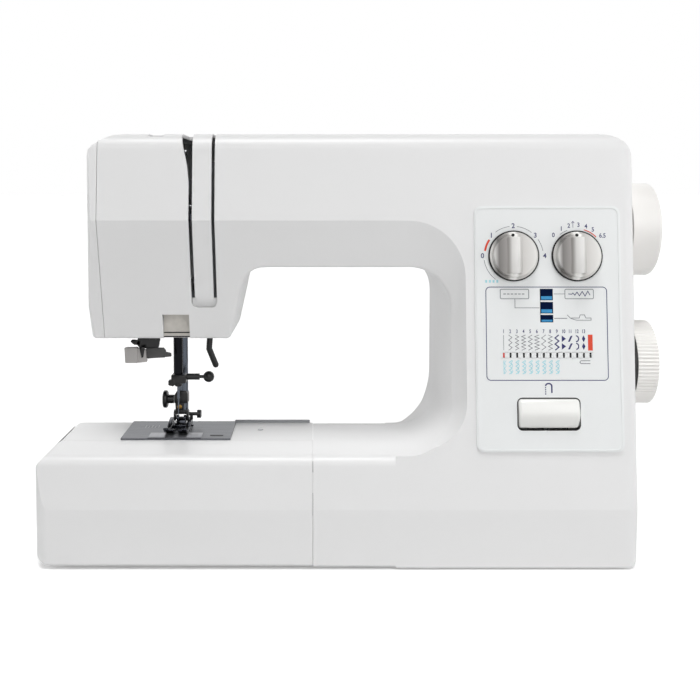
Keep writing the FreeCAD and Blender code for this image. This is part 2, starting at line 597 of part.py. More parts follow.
def presser_spring():
    return ring(6.0, 4.2, (PRESS_X, PRESS_Y, 180), (PRESS_X, PRESS_Y, 240)).common(
        box(-140, -110, -7.9, 10, 170, 250))


def foot_holder():
    shank = box(-133, -122.5, -9, 0.5, 82, 99)
    shank = shank.cut(rod(PRESS_R, (PRESS_X, PRESS_Y, 84), (PRESS_X, PRESS_Y, 100)))
    ears = [box(x, x + 1.5, -9, -1, 77.5, 82) for x in (-133, -124)]
    return fuse(shank, rod(1.0, (-133, -6, 79), (-122.5, -6, 79)), *ears)


def foot_screw():
    return fuse(rod(6.1, (-140, -5, 92.5), (-137, -5, 92.5)), rod(2.6, (-137, -5, 92.5), (-133, -5, 92.5)))


def foot_release_lever():
    y, z = -7.0, 82.2
    upright = rod(1.1, (-120.4, y, z), (-120.4, y, 78.2))
    return fuse(rod(1.2, (-122.0, y, z), (-116.2, y, z)), rod(2.9, (-116.2, y, z), (-113.4, y, z)), upright)


def presser_foot():
    sole = box(-136, -120, -38, -2, BED_Z + PLATE_T + 0.3, 75.8)
    slot = box(NEEDLE_X - 4.8, NEEDLE_X + 4.8, -24, NEEDLE_Y + 2, 70, 80)
    toe_gap = box(NEEDLE_X - 1.5, NEEDLE_X + 1.5, -40, -23, 70, 80)
    block = box(-131, -124.5, -8, -4, 75.8, 81).cut(rod(1.0 + RUN, (-135, -6, 79), (-120, -6, 79)))
    return fuse(sole.cut(slot).cut(toe_gap), block)


def lifter_lever():
    x = -108.0
    hub = rod(5.0, (x - 3, LIFTER_Y, LIFTER_Z), (x + 3, LIFTER_Y, LIFTER_Z))
    upper = rod(2.2, (x + 0.5, LIFTER_Y, LIFTER_Z - 3), (x - 0.8, LIFTER_Y, 127.2))
    lower = rod(2.2, (x - 0.8, LIFTER_Y, 127.2), (-104.1, LIFTER_Y, 115.5))
    tip = Part.makeSphere(2.2, V(-104.1, LIFTER_Y, 115.5))
    knee = Part.makeSphere(2.2, V(x - 0.8, LIFTER_Y, 127.2))
    body = fuse(hub, upper, lower, tip, knee)
    return body.cut(rod(2.0 + RUN, (-113, LIFTER_Y, LIFTER_Z), (-103, LIFTER_Y, LIFTER_Z)))


def take_up_lever():
    blade = prism([(TAKE_Y + 4, TAKE_Z - 4, 0), (-61, 223, 0), (-62.5, 227, 0), (TAKE_Y, TAKE_Z + 4, 0)],
                  on_yz(-113.8), V(1.2, 0, 0))
    hub = rod(4.3, (-116.5, TAKE_Y, TAKE_Z), (-112.6, TAKE_Y, TAKE_Z))
    return fuse(blade, hub).cut(rod(1.5 + RUN, (-120, TAKE_Y, TAKE_Z), (-110, TAKE_Y, TAKE_Z)))


def needle_threader():
    block = box(-163.2, -147.6, -30, -24.5, 122.5, 133.6)
    arm = box(-147.6, -131.5, -28, -26.2, 125, 129.5)
    plate = box(-159, -147.5, -30, -24.5, 133.6, 141)
    return fuse(block, arm, plate, rod(1.8, (-152, -27, 141), (-152, -27, 190)))


def tension_discs():
    y, z = -42.0, 268.0
    discs = [rod(8.5, (x, y, z), (x + 1, y, z)) for x in (-126, -124)]
    return fuse(rod(2.0, (-143, y, z), (-118, y, z)), *discs)


def tension_dial():
    return ring(10.5, 2.0 + RUN, (-141, -42, 268), (-133, -42, 268))


def lamp():
    return rod(6.5, (-164, -8, 152), (-164, -8, 186))


# ---- controls ----
def control_panel():
    plate = front_block(PANEL_X0, PANEL_X1, PANEL_Z0, PANEL_Z1, 0, PANEL_T, 5)
    cuts = [front_block(LEVER_X0, LEVER_X1, LEVER_Z0, LEVER_Z1, -3, 3),
            front_block(WINDOW_X0, WINDOW_X1, WINDOW_Z0, WINDOW_Z1, -3, 3),
            front_block(CHART_X0 - 1.8, CHART_X1 + 1.8, CHART_Z - 1.9, CHART_Z + 1.9, -3, 3)]
    for x in (LENGTH_DIAL_X, WIDTH_DIAL_X):
        cuts.append(front_rod(x, DIAL_Z, 3.0 + RUN, -3, 3))
    return plate.cut(fuse_all(cuts))


def panel_dial(x):
    skirt = front_rod(x, DIAL_Z, DIAL_R, PANEL_T + 0.3, PANEL_T + 3)
    cap = front_rod(x, DIAL_Z, DIAL_R - 2, PANEL_T + 3, 9)
    grip = front_block(x - 2.6, x + 2.6, DIAL_Z - 13.5, DIAL_Z + 13.5, 9, 14, 2)
    return fuse(skirt, cap, grip, front_rod(x, DIAL_Z, 3.0, -16, PANEL_T + 0.3))


def window_lens():
    return front_block(WINDOW_X0, WINDOW_X1, WINDOW_Z0, WINDOW_Z1, -1.0, PANEL_T)


def chart_pointer():
    flag = front_block(CHART_X0 - 1, CHART_X0 + 1, CHART_Z - 1.5, CHART_Z + 1.5, 0.3, PANEL_T - 0.1)
    return fuse(flag, front_block(CHART_X0 - 0.5, CHART_X0 + 0.5, CHART_Z - 0.4, CHART_Z + 0.4, -6, 0.3))


def reverse_lever():
    """Paddle hinged along its top edge; its lower edge is pressed in."""
    paddle = front_block(LEVER_X0 + 0.5, LEVER_X1 - 0.5, LEVER_Z0 + 1.4, LEVER_Z1 - 0.4, -5, 4, 2.5)
    return fuse(paddle, front_block(114, 122, LEVER_Z1 - 8, LEVER_Z1 - 2, -14, -5))


def handwheel():
    wheel = rod(WHEEL_R, (WHEEL_X0, SHAFT_Y, SHAFT_Z), (WHEEL_X1, SHAFT_Y, SHAFT_Z))
    rims = [e for e in wheel.Edges if abs(e.BoundBox.XMin - WHEEL_X1) < 0.01 and e.BoundBox.XLength < 0.01]
    wheel = wheel.makeFillet(2.5, rims)
    return wheel.cut(rod(SHAFT_R, (WHEEL_X0 - 1, SHAFT_Y, SHAFT_Z), (WHEEL_X1 - 6, SHAFT_Y, SHAFT_Z)))


def selector_rim(ribs, r):
    points = []
    for i in range(2 * ribs):
        reach = r - (0.7 if i % 2 else 0.0)
        angle = pi * i / ribs
        points.append(V(SELECTOR_X0, SHAFT_Y + reach * cos(angle), SELECTOR_Z + reach * sin(angle)))
    return Part.Face(Part.makePolygon(points + points[:1])).extrude(V(SELECTOR_X1 - SELECTOR_X0, 0, 0))


def pattern_dial():
    shaft = rod(4.0, (148, SHAFT_Y, SELECTOR_Z), (SELECTOR_X0, SHAFT_Y, SELECTOR_Z))
    hub = rod(20.0, (178.6, SHAFT_Y, SELECTOR_Z), (SELECTOR_X0, SHAFT_Y, SELECTOR_Z))
    return fuse(selector_rim(72, SELECTOR_R), hub, shaft, pattern_cam())


def pattern_cam():
    sizes = ((120, 18), (130, 15), (140, 17))
    discs = [rod(r, (x, SHAFT_Y, SELECTOR_Z), (x + 6, SHAFT_Y, SELECTOR_Z)) for x, r in sizes]
    return fuse(rod(7, (120, SHAFT_Y, SELECTOR_Z), (148, SHAFT_Y, SELECTOR_Z)), *discs)


def power_switch():
    return box(173.0, 178.2, 22, 36, 50, 62)


def inlet_socket():
    """Socket for a mains lead, standing out from the right-hand end."""
    neck = box(162, 177, 22, 42, 24, 40)
    flange = box(177, 184, 20, 44, 22, 42).cut(box(178.5, 190, 25, 39, 27, 37))
    return fuse(neck, flange, box(178.5, 183, 30, 32, 31, 33))


def spool_pin():
    return rod(3.0, (120, 22, 232), (120, 22, 279.8))


def bobbin_winder():
    disc = rod(12.5, (159.5, 24, 272), (159.5, 24, 275))
    return fuse(disc, rod(3.0, (159.5, 24, 250), (159.5, 24, 280)))


def carry_handle():
    """Bail handle, stored hanging against the back of the arm."""
    left, right = HANDLE_X - 45.7, HANDLE_X + 45.7
    bars = [box(x, x + 5, 38.5, 45.5, 206, 266) for x in (left, right - 5)]
    grip = box(left, right, 38.5, 45.5, 200, 210)
    pins = [rod(2.4, (a, HANDLE_Y, HANDLE_Z), (b, HANDLE_Y, HANDLE_Z))
            for a, b in ((left - 6.3, left), (right, right + 6.3))]
    return fuse(grip, *bars, *pins)


def shaft_pulleys():
    """Toothed-belt pulley and motor belt wheel, both on the upper shaft."""
    return Part.makeCompound([pulley(TIMING_X0, TIMING_X1, SHAFT_Y, SHAFT_Z, TIMING_R, SHAFT_R),
                              pulley(MOTOR_BELT_X0, MOTOR_BELT_X1, SHAFT_Y, SHAFT_Z, BELT_WHEEL_R, SHAFT_R)])


def all_parts():
    shell = casing_shell()
    covers = {"front_cover": front_cover(shell), "rear_cover": rear_cover(shell),
              "face_cover": face_cover(shell), "thread_guide_strip": thread_guide_strip(shell)}
    plain = [base_plate, rubber_feet, extension_table, free_arm_cover, shuttle_cover, needle_plate,
             bed_screw, feed_dog, drop_feed_lever, machine_frame, shaft_bushes, upper_shaft, crank,
             shaft_pulleys, timing_belt, motor_belt, motor, motor_pulley, lower_shaft,
             shuttle_race, shuttle_hook, bobbin_case, bobbin, needle_bar_frame, needle_bar,
             needle_bar_link, needle_clamp, needle_clamp_screw, needle, presser_bar, presser_bracket,
             presser_spring, foot_holder, foot_screw, foot_release_lever, presser_foot, lifter_lever,
             take_up_lever, needle_threader, tension_discs, tension_dial, lamp, control_panel,
             window_lens, chart_pointer, reverse_lever, handwheel, pattern_dial, power_switch,
             inlet_socket, spool_pin, bobbin_winder, handle_lugs, carry_handle]
    made = {make.__name__: make() for make in plain}
    dials = {"length_dial": panel_dial(LENGTH_DIAL_X), "width_dial": panel_dial(WIDTH_DIAL_X)}
    return {**covers, **made, **dials}


for name, shape in all_parts().items():
    shape.translate(V(-MIDDLE_X, 0, 0))
    shape.exportStep("parts/" + name + ".step")
    print(name, "valid" if shape.isValid() else "INVALID", len(shape.Solids), round(shape.Volume))
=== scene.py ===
import json
from math import cos, pi, radians, sin

import bmesh
import bpy
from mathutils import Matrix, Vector


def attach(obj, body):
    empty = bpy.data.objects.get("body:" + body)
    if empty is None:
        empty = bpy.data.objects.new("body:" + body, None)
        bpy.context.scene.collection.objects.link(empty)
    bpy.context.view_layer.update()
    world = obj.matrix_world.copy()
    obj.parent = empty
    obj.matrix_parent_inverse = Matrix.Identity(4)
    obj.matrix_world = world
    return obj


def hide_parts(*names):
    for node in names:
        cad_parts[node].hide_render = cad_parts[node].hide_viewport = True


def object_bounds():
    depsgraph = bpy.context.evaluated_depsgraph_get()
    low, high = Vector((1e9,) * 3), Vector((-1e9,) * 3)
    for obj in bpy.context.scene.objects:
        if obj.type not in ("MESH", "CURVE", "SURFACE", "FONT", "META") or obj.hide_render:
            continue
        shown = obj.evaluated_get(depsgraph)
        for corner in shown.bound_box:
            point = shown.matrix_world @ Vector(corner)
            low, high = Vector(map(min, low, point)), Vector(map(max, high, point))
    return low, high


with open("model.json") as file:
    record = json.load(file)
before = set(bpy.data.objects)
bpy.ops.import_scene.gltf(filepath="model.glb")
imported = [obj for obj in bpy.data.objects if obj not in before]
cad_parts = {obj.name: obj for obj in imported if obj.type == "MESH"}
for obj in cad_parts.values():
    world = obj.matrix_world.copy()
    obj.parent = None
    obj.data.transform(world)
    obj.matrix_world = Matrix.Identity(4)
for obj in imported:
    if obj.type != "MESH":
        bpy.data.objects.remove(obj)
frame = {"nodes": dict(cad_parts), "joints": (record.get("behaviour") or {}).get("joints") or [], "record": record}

cad_low, cad_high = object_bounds()
MM = 0.001
NODES = frame["nodes"]
JOINTS = {joint["name"]: joint for joint in frame["joints"]}


# ---- the leaning panel: u to the right, v up the slope, n out of it, in millimetres ----
NORMAL = Vector(JOINTS["length_dial_turn"]["axis"])
RIGHT = Vector((1, 0, 0))
UP_SLOPE = NORMAL.cross(RIGHT)
DIAL_STANDOFF = 5.0
LENGTH_DIAL = Vector(JOINTS["length_dial_turn"]["pos_m"]) - NORMAL * DIAL_STANDOFF * MM
DIAL_U, WIDTH_U = 97.0, 138.0      # the dials in the part's drawing coordinates
DATUM_X = LENGTH_DIAL.x / MM - DIAL_U
PANEL_N = 1.2                      # the panel plate's face


def on_panel(u, v, n=PANEL_N):
    """u is the X coordinate and v the distance up the slope from the dials' centres."""
    return LENGTH_DIAL + RIGHT * (u - DIAL_U) * MM + UP_SLOPE * v * MM + NORMAL * n * MM


def place(x, y, z):
    """Point from the part's drawing coordinates in millimetres."""
    return Vector((x + DATUM_X, y, z)) * MM


def slope(z):
    """Distance up the slope, from the dials' centres, of height z in millimetres."""
    return (z - LENGTH_DIAL.z / MM) / UP_SLOPE.z


# ---- materials ----
COAT_ROUGHNESS = 0.25
GLOSS_SPREAD = 0.15                # roughness varies by this share either way
BUMP_DEPTH = 0.0002                # metres
DIAL_RADIUS = 14.0                 # of the dials' raised step, in millimetres


def srgb(value):
    """Linear value of one colour channel from 0 to 255."""
    value /= 255
    return value / 12.92 if value <= 0.04045 else ((value + 0.055) / 1.055) ** 2.4


def colour(hexa):
    return tuple(srgb(int(hexa[i:i + 2], 16)) for i in (1, 3, 5)) + (1.0,)


class Recipe:
    """A node-based material: a base colour that varies, uneven gloss and a fine bump."""

    def __init__(self, name, base, rough, metal=0.0, vary=0.03, scale=60.0, bump=0.0, bump_scale=900.0,
                 stretch=(1, 1, 1), coat=0.0, transmission=0.0, ior=1.46):
        self.name = name
        self.material = bpy.data.materials.new("look_" + name)
        self.material.use_nodes = True
        self.tree = self.material.node_tree
        self.shader = self.tree.nodes["Principled BSDF"]
        self.shader.inputs["Metallic"].default_value = metal
        self.shader.inputs["Coat Weight"].default_value = coat
        self.shader.inputs["Coat Roughness"].default_value = COAT_ROUGHNESS
        self.shader.inputs["Transmission Weight"].default_value = transmission
        self.shader.inputs["IOR"].default_value = ior
        self.coords = self.add("ShaderNodeTexCoord")
        self.mapping = self.add("ShaderNodeMapping")
        self.mapping.inputs["Scale"].default_value = stretch
        self.join(self.coords, "Object", self.mapping, "Vector")
        broad = self.noise(scale, 3)
        tint = self.add("ShaderNodeValToRGB")
        darker, lighter = (self.shade(colour(base), factor) for factor in (1 - vary, 1 + vary))
        self.ramp(tint, [(0.3, darker), (0.7, lighter)])
        self.join(broad, "Fac", tint, "Fac")
        self.join(tint, "Color", self.shader, "Base Color")
        gloss = self.add("ShaderNodeMapRange")
        gloss.inputs["To Min"].default_value = rough * (1 - GLOSS_SPREAD)
        gloss.inputs["To Max"].default_value = rough * (1 + GLOSS_SPREAD)
        self.join(self.noise(scale * 2.3, 4), "Fac", gloss, "Value")
        self.join(gloss, "Result", self.shader, "Roughness")
        if bump:
            relief = self.add("ShaderNodeBump")
            relief.inputs["Strength"].default_value = bump
            relief.inputs["Distance"].default_value = BUMP_DEPTH
            self.join(self.noise(bump_scale, 2), "Fac", relief, "Height")
            self.join(relief, "Normal", self.shader, "Normal")

    def add(self, kind):
        return self.tree.nodes.new(kind)

    def join(self, source, output, target, socket):
        self.tree.links.new(source.outputs[output], target.inputs[socket])

    def noise(self, scale, detail):
        node = self.add("ShaderNodeTexNoise")
        node.inputs["Scale"].default_value = scale
        node.inputs["Detail"].default_value = detail
        self.join(self.mapping, "Vector", node, "Vector")
        return node

    @staticmethod
    def shade(rgba, factor):
        return tuple(min(1.0, c * factor) for c in rgba[:3]) + (1.0,)

    @staticmethod
    def ramp(node, stops):
        elements = node.color_ramp.elements
        while len(elements) < len(stops):
            elements.new(0.5)
        for element, (position, rgba) in zip(elements, stops):
            element.position = position
            element.color = rgba


MATERIALS = {}


def keep(*recipes):
    for recipe in recipes:
        MATERIALS[recipe.name] = recipe.material


def make_slot_materials():
    """One look for each material slot of the record."""
    keep(
        Recipe("white_shell", "#EBEBEB", 0.34, vary=0.004, scale=25, bump=0.05, bump_scale=1600),
        Recipe("panel_white", "#EEF0F0", 0.42, vary=0.006, scale=30, bump=0.12, bump_scale=2200),
        Recipe("lever_white", "#F1F1EE", 0.22, vary=0.008, scale=40, bump=0.06, coat=0.3),
        Recipe("wheel_white", "#F2F0ED", 0.30, vary=0.010, scale=30, bump=0.12, bump_scale=1500, coat=0.2),
        Recipe("dial_silver", "#D6D5D2", 0.34, metal=0.3, vary=0.02, scale=30, bump=0.06,
               bump_scale=500, stretch=(1, 12, 12)),
        Recipe("grey_plastic", "#A5A7AA", 0.45, vary=0.03, scale=60, bump=0.2),
        Recipe("black_plastic", "#1B1C1E", 0.45, vary=0.10, scale=60, bump=0.25),
        Recipe("black_rubber", "#161616", 0.75, vary=0.12, scale=80, bump=0.4, bump_scale=700),
        Recipe("belt_rubber", "#1D1D1D", 0.70, vary=0.12, scale=90, bump=0.5, bump_scale=500),
        Recipe("plate_steel", "#73757A", 0.36, metal=0.8, vary=0.12, scale=35, bump=0.25,
               bump_scale=260, stretch=(1, 16, 1)),
        Recipe("bright_steel", "#BCBEC0", 0.26, metal=1.0, vary=0.05, scale=40, bump=0.15,
               bump_scale=300, stretch=(1, 1, 9)),
        Recipe("dark_chrome", "#4A4C52", 0.18, metal=1.0, vary=0.06, scale=50, bump=0.05, bump_scale=400),
        Recipe("black_metal", "#08080A", 0.30, metal=0.0, vary=0.15, scale=70, bump=0.15, coat=0.4),
        Recipe("cast_frame", "#9EA1A4", 0.55, metal=0.9, vary=0.06, scale=90, bump=0.5, bump_scale=600),
        Recipe("bronze", "#A98446", 0.40, metal=1.0, vary=0.08, scale=90, bump=0.3),
        Recipe("motor_paint", "#2E3236", 0.40, vary=0.08, scale=60, bump=0.3, coat=0.2),
        Recipe("clear_plastic", "#DDE1E3", 0.10, vary=0.01, scale=40, transmission=0.7),
        Recipe("lamp_glass", "#F2F0E6", 0.30, vary=0.01, scale=40, transmission=0.5),
        Recipe("window_blue", "#061638", 0.50, vary=0.15, scale=120, ior=1.1),
        Recipe("pointer_red", "#CF3226", 0.35, vary=0.04, scale=80, bump=0.1),
    )


def make_inks():
    # the sky blue is painted light for the windows' lower bands; the other colours are print inks
    inks = {"ink_navy": "#2B2C66", "ink_grey": "#6F7178", "ink_red": "#E0482C", "ink_cyan": "#A6DDE6",
            "ink_black": "#101012", "painted_window_light": "#2F8FC6", "ink_pale": "#C9CACC", "beige_grey": "#CFCBC4"}
    for name, hexa in inks.items():
        keep(Recipe(name, hexa, 0.5, vary=0.05, scale=300))


def make_dial_finish(name, centre_u):
    """Satin silver with painted shading across X: a painted dark shade on the left flank and a painted highlight
    on the ridge.
    """
    recipe = Recipe(name, "#D6D5D2", 0.36, metal=0.25, vary=0.01, bump=0.05, bump_scale=500)
    split = recipe.add("ShaderNodeSeparateXYZ")
    recipe.join(recipe.coords, "Object", split, "Vector")
    across = recipe.add("ShaderNodeMapRange")
    middle = centre_u + DATUM_X
    across.inputs["From Min"].default_value = (middle - DIAL_RADIUS) * MM
    across.inputs["From Max"].default_value = (middle + DIAL_RADIUS) * MM
    recipe.join(split, "X", across, "Value")
    painted_shading_ramp = recipe.add("ShaderNodeValToRGB")
    # painted shade and highlight: darkest at the left flank, brightest at the ridge, by X across the dial
    stops = ((0.0, "#DCDBD8"), (0.12, "#7C7977"), (0.34, "#A3A09D"), (0.41, "#E6E5E2"), (0.52, "#FAF9F7"),
             (0.58, "#C6C4C1"), (0.78, "#D8D6D3"), (1.0, "#E8E7E4"))
    recipe.ramp(painted_shading_ramp, [(position, colour(hexa)) for position, hexa in stops])
    recipe.join(across, "Result", painted_shading_ramp, "Fac")
    recipe.join(painted_shading_ramp, "Color", recipe.shader, "Base Color")
    keep(recipe)


def make_extra_materials():
    """Looks that single pieces have in place of their slot's."""
    # the dials' silver, with painted shade on the left flank and a painted highlight on the ridge
    make_dial_finish("length_silver_painted_shade", DIAL_U)
    make_dial_finish("width_silver_painted_shade", WIDTH_U)
    keep(
        Recipe("bar_dark", "#1D1E22", 0.22, metal=0.9, vary=0.1, scale=60, bump=0.05),
        Recipe("bar_blue", "#6C727C", 0.24, metal=1.0, vary=0.05, scale=60, bump=0.05),
        Recipe("threader_grey", "#B5B2B0", 0.35, vary=0.04, scale=60, bump=0.1),
        Recipe("grey_dark", "#4C4C4C", 0.4, vary=0.05, scale=60, bump=0.15),
        Recipe("plate_light", "#9C9DA2", 0.3, metal=0.8, vary=0.07, scale=35, bump=0.2,
               bump_scale=260, stretch=(16, 1, 1)),
    )


# ---- the CAD pieces ----
SOFT_EDGES = {"face_cover": 1.0, "extension_table": 1.2, "free_arm_cover": 0.8, "control_panel": 0.6,
              "needle_plate": 0.3, "thread_guide_strip": 0.5, "front_cover": 0.9, "pattern_dial": 0.5,
              "handwheel": 0.5, "shuttle_cover": 0.4, "power_switch": 0.5, "carry_handle": 1.5,
              "drop_feed_lever": 0.6, "take_up_lever": 0.2}
OWN_LOOKS = {"needle_bar": "bar_dark", "presser_bar": "bar_blue", "needle": "bar_blue"}
FLAT_ANGLE, SHARP_ANGLE = 0.8, 35  # degrees


def dress_cad():
    slots = {part["node"]: part["material_slot"] for part in frame["record"]["subparts"]}
    for node, obj in NODES.items():
        obj.data.materials.clear()
        obj.data.materials.append(MATERIALS[slots[node]])
    for node, look in OWN_LOOKS.items():
        NODES[node].data.materials[0] = MATERIALS[look]
    for node, width in SOFT_EDGES.items():
        soften(NODES[node], width)


def soften(obj, width):
    """Rounds the sharp edges of a CAD piece, after merging its flat triangles."""
    merge = obj.modifiers.new("flats", "DECIMATE")
    merge.decimate_type = "DISSOLVE"
    merge.angle_limit = radians(FLAT_ANGLE)
    bevel = obj.modifiers.new("edges", "BEVEL")
    bevel.width = width * MM
    bevel.segments = 3
    bevel.limit_method = "ANGLE"
    bevel.angle_limit = radians(SHARP_ANGLE)
    bevel.harden_normals = True


# ---- mesh helpers ----
JOIN_ANGLE, CREASE_ANGLE = 1, 25   # degrees


def new_piece(name, mesh, material, body, smooth_angle=None):
    obj = bpy.data.objects.new(name, mesh)
    bpy.context.scene.collection.objects.link(obj)
    mesh.materials.clear()
    mesh.materials.append(MATERIALS[material])
    if smooth_angle is not None:
        mesh.shade_smooth()
        mesh.set_sharp_from_angle(angle=radians(smooth_angle))
    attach(obj, body)
    return obj


class Solid:
    """Closed pieces built up from hulls, extrusions and lathes in drawing millimetres."""

    def __init__(self):
        self.mesh = bmesh.new()

    def merge(self, part, soft, steps):
        """Joins flat triangles, rounds the sharp edges by soft millimetres and adds the part."""
        bmesh.ops.dissolve_limit(part, angle_limit=radians(JOIN_ANGLE),
                                 verts=part.verts[:], edges=part.edges[:])
        if soft:
            sharp = [e for e in part.edges if e.calc_face_angle(0) > radians(CREASE_ANGLE)]
            bmesh.ops.bevel(part, geom=sharp, offset=soft * MM, segments=steps, profile=0.5,
                            affect="EDGES", clamp_overlap=True)
        self.absorb(part)

    def absorb(self, part):
        bmesh.ops.recalc_face_normals(part, faces=part.faces[:])
        mesh = bpy.data.meshes.new("part")
        part.to_mesh(mesh)
        part.free()
        self.mesh.from_mesh(mesh)
        bpy.data.meshes.remove(mesh)

    def hull(self, points, soft=0.3, steps=2):
        part = bmesh.new()
        for point in points:
            part.verts.new(place(*point))
        bmesh.ops.convex_hull(part, input=part.verts[:])
        bmesh.ops.delete(part, geom=[v for v in part.verts if not v.link_faces], context="VERTS")
        self.merge(part, soft, steps)

    def block(self, x0, x1, y0, y1, z0, z1, soft=0.3):
        self.hull([(x, y, z) for x in (x0, x1) for y in (y0, y1) for z in (z0, z1)], soft)

    def extrude(self, points, along, soft=0.3, steps=2):
        """points are finished positions and along is a vector, both in metres."""
        part = bmesh.new()
        near = [part.verts.new(point) for point in points]
        far = [part.verts.new(point + along) for point in points]
        part.faces.new(near[::-1])
        part.faces.new(far)
        for i in range(len(points)):
            j = (i + 1) % len(points)
            part.faces.new([near[i], near[j], far[j], far[i]])
        self.merge(part, soft, steps)

    def lathe(self, origin, axis, profile, steps=48):
        """profile is a chain of (radius, height) in millimetres, from axis to axis or closed."""
        axis = axis.normalized()
        side = axis.orthogonal().normalized()
        across = axis.cross(side)
        part = bmesh.new()
        rings = []
        for radius, height in profile:
            centre = origin + axis * height * MM
            if radius == 0:
                rings.append([part.verts.new(centre)])
                continue
            rings.append([part.verts.new(centre + (side * cos(2 * pi * k / steps)
                                                   + across * sin(2 * pi * k / steps)) * radius * MM)
                          for k in range(steps)])
        for low, high in zip(rings, rings[1:]):
            for k in range(steps):
                m = (k + 1) % steps
                corners = [low[k % len(low)], low[m % len(low)], high[m % len(high)], high[k % len(high)]]
                part.faces.new(list(dict.fromkeys(corners)))
        self.absorb(part)

    def finish(self, name, material, body, slot=None, smooth_angle=35, replaced=()):
        mesh = bpy.data.meshes.new(name)
        self.mesh.to_mesh(mesh)
        self.mesh.free()
        obj = new_piece(name, mesh, material, body, smooth_angle)
        if replaced:
            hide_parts(*replaced)
        return obj


class Print:
    """Flat printed marks on the panel, as thin closed solids."""

    def __init__(self, base_n=PANEL_N, thick=0.06):
        self.mesh = bmesh.new()
        self.thick = thick
        self.n0 = base_n
        self.n1 = base_n + thick

    def area(self, points):
        """A filled outline, counter-clockwise in (u, v)."""
        low = [self.mesh.verts.new(on_panel(u, v, self.n0)) for u, v in points]
        high = [self.mesh.verts.new(on_panel(u, v, self.n1)) for u, v in points]
        self.mesh.faces.new(high)
        self.mesh.faces.new(low[::-1])
        for i in range(len(points)):
            j = (i + 1) % len(points)
            self.mesh.faces.new([low[i], low[j], high[j], high[i]])

    def box(self, u0, u1, v0, v1):
        self.area([(u0, v0), (u1, v0), (u1, v1), (u0, v1)])

    def stroke(self, points, width, closed=False):
        """A line of even width with mitred corners."""
        points = [Vector(p) for p in points]
        count = len(points)
        sides = []
        for i, point in enumerate(points):
            before = points[i - 1] if i or closed else None
            after = points[(i + 1) % count] if i < count - 1 or closed else None
            into = (point - before).normalized() if before is not None else (after - point).normalized()
            out = (after - point).normalized() if after is not None else into
            across = Vector((-(into.y + out.y), into.x + out.x)).normalized()
            normal = Vector((-into.y, into.x))
            reach = width / 2 / max(0.35, across.dot(normal))
            sides.append((point - across * reach, point + across * reach))
        rings = []
        for right, left in sides:
            rings.append([self.mesh.verts.new(on_panel(right.x, right.y, self.n0)),
                          self.mesh.verts.new(on_panel(left.x, left.y, self.n0)),
                          self.mesh.verts.new(on_panel(left.x, left.y, self.n1)),
                          self.mesh.verts.new(on_panel(right.x, right.y, self.n1))])
        for i in range(count if closed else count - 1):
            a, b = rings[i], rings[(i + 1) % count]
            for k in range(4):
                m = (k + 1) % 4
                self.mesh.faces.new([a[k], b[k], b[m], a[m]])
        if not closed:
            self.mesh.faces.new(rings[0])
            self.mesh.faces.new(rings[-1][::-1])

    def arc(self, u, v, r, start, end, width, steps=24):
        """start and end in degrees, counter-clockwise from the right."""
        angles = [start + (end - start) * k / steps for k in range(steps + 1)]
        self.stroke([(u + r * cos(radians(a)), v + r * sin(radians(a))) for a in angles], width)

    def rounded(self, u0, u1, v0, v1, r, width):
        """A closed line round a rectangle with corners of radius r."""
        corners = ((u1 - r, v1 - r, 0), (u0 + r, v1 - r, 90), (u0 + r, v0 + r, 180), (u1 - r, v0 + r, 270))
        points = []
        for centre_u, centre_v, start in corners:
            for k in range(7):
                angle = radians(start + 15 * k)
                points.append((centre_u + r * cos(angle), centre_v + r * sin(angle)))
        self.stroke(points, width, closed=True)

    def text(self, words, u, v, size, squeeze=1.0):
        curve = bpy.data.curves.new("glyphs", "FONT")
        curve.body = words
        curve.size = size
        curve.align_x = "CENTER"
        curve.align_y = "CENTER"
        curve.extrude = self.thick / 2
        curve.offset = size * 0.018
        holder = bpy.data.objects.new("glyphs", curve)
        bpy.context.scene.collection.objects.link(holder)
        bpy.context.view_layer.update()
        glyphs = bpy.data.meshes.new_from_object(holder)
        for vert in glyphs.vertices:
            x, y, z = vert.co
            vert.co = on_panel(u + x * squeeze, v + y, self.n0 + self.thick / 2 + z)
        self.mesh.from_mesh(glyphs)
        bpy.data.objects.remove(holder)
        bpy.data.meshes.remove(glyphs)

    def finish(self, name, material):
        bmesh.ops.recalc_face_normals(self.mesh, faces=self.mesh.faces)
        mesh = bpy.data.meshes.new(name)
        self.mesh.to_mesh(mesh)
        self.mesh.free()
        return new_piece(name, mesh, material, "machine")


# ---- printing on the panel ----
CHART_X0, CHART_X1, CHART_Z = 89.8, 145.6, 136.5
CHART_LOW, CHART_HIGH = 139.7, 149.4
COLUMNS = 14
LENGTH_RING = 19.3                 # radius of the length dial's scale
LENGTH_NUMERALS = ((0, 180), (1, 137), (2, 90), (3, 43), (4, 0))
WIDTH_NUMERALS = (("0", 138), ("1", 119), ("2", 104), ("3", 86), ("4", 72), ("5", 58), ("6.5", 38))


def column_u(index):
    return CHART_X0 + (CHART_X1 - CHART_X0) * index / (COLUMNS - 1)


def zigzag(print_, u, v0, v1, swing, turns, width):
    points = [(u + (swing if k % 2 else -swing), v0 + (v1 - v0) * k / turns) for k in range(turns + 1)]
    print_.stroke(points, width)


def print_length_scale(dark, red, grey, cyan):
    for number, angle in LENGTH_NUMERALS:
        reach = LENGTH_RING + (0.9 if number in (0, 4) else 0.2)
        dark.text(str(number), DIAL_U + reach * cos(radians(angle)), reach * sin(radians(angle)), 4.4)
    for start, end in ((97, 127), (52, 83), (10, 34), (188, 232)):
        grey.arc(DIAL_U, 0, LENGTH_RING, start, end, 0.30)
    red.arc(DIAL_U, 0, 18.8, 146, 170, 1.3)
    for k in range(4):
        cyan.box(DIAL_U - 18.6 + 2.4 * k, DIAL_U - 17.4 + 2.4 * k, -17.3, -15.6)


